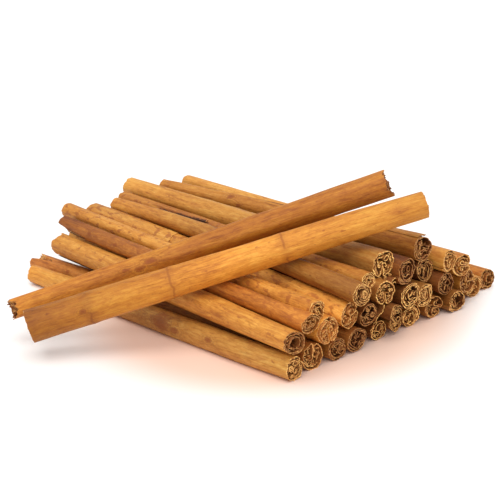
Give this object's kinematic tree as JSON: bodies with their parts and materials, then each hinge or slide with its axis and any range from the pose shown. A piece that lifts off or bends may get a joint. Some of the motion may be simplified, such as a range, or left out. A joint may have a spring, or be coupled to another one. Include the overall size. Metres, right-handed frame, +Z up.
{
  "type": "stack of cinnamon sticks",
  "caption": "Heap of rolled cinnamon bark sticks cut to one length, piled in rows with their ends flush, with a pair leaning across the near side.",
  "frame": {"origin": "under the middle of the heap's box, on the surface it lies on", "axes": "X along the sticks of the heap, flush ends at +X; Y across the heap; Z up"},
  "size_m": [0.1384, 0.1478, 0.0468],
  "materials": {
    "bark_tan": "dry inner bark rolled outwards, light tan, fine grain along the stick, faint sheen",
    "bark_honey": "dry bark, warm yellow-brown, fine grain along the stick",
    "bark_brown": "dry bark, darker reddish brown, fine grain along the stick"
  },
  "bodies": {
    "root": {"bottom_quill_1": "bark_tan", "bottom_quill_2": "bark_brown", "bottom_quill_3": "bark_honey", "bottom_quill_4": "bark_honey", "bottom_quill_5": "bark_brown", "bottom_quill_6": "bark_tan", "bottom_quill_7": "bark_tan", "bottom_quill_8": "bark_honey", "bottom_quill_9": "bark_tan", "bottom_quill_10": "bark_tan", "bottom_quill_11": "bark_honey", "second_quill_1": "bark_honey", "second_quill_2": "bark_honey", "second_quill_3": "bark_tan", "second_quill_4": "bark_honey", "second_quill_5": "bark_tan", "second_quill_6": "bark_honey", "second_quill_7": "bark_tan", "second_quill_8": "bark_brown", "second_quill_9": "bark_honey", "third_quill_1": "bark_brown", "third_quill_2": "bark_tan", "third_quill_3": "bark_honey", "third_quill_4": "bark_tan", "third_quill_5": "bark_brown", "third_quill_6": "bark_brown", "third_quill_7": "bark_honey", "top_quill_1": "bark_honey", "top_quill_2": "bark_tan", "top_quill_3": "bark_tan", "top_quill_4": "bark_tan", "leaning_quill_1": "bark_honey", "leaning_quill_2": "bark_tan"}
  },
  "joints": []
}
